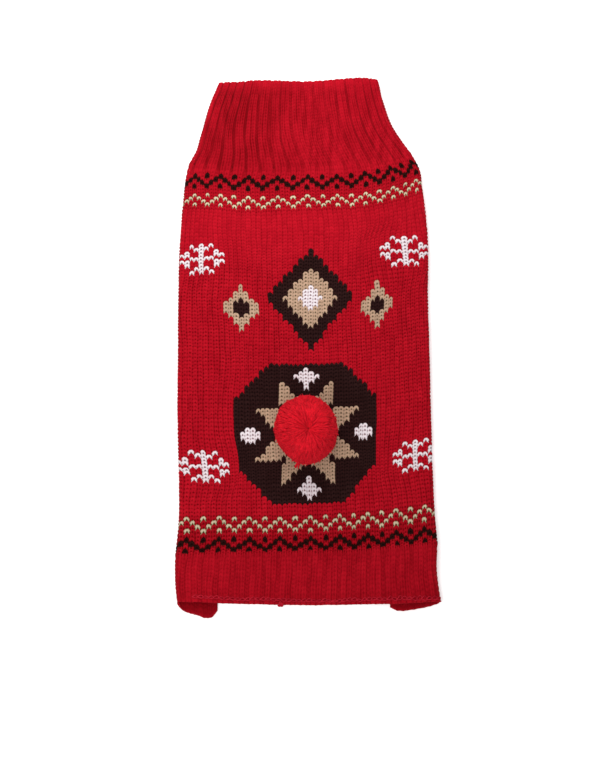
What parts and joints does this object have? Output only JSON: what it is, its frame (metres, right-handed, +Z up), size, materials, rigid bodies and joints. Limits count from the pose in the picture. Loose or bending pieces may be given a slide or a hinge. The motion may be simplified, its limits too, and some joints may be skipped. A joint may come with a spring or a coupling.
{
  "type": "dog sweater",
  "caption": "Knitted turtleneck sweater for a medium dog, lying flat: ribbed collar and hem, leg holes with cuffs, patterned back with a sewn-on pompom.",
  "frame": {"origin": "on the surface that the sweater lies on, under the middle of its outline", "axes": "+Z up from that surface, +Y from the hem to the collar, +X to the right as seen from above"},
  "size_m": [0.2064, 0.4418, 0.046],
  "materials": {
    "red_knit": "red acrylic jacquard knit with dark brown, tan, white, black and pale green stitches",
    "red_rib": "red acrylic rib knit, two plain columns to one purl column",
    "pompom_yarn": "brushed red acrylic yarn"
  },
  "bodies": {
    "root": {"collar": "red_rib", "back_panel": "red_knit", "back_hem_rib": "red_rib", "belly_panel": "red_knit", "belly_hem_rib": "red_rib", "leg_cuff_left": "red_rib", "leg_cuff_right": "red_rib", "pompom": "pompom_yarn"}
  },
  "joints": []
}
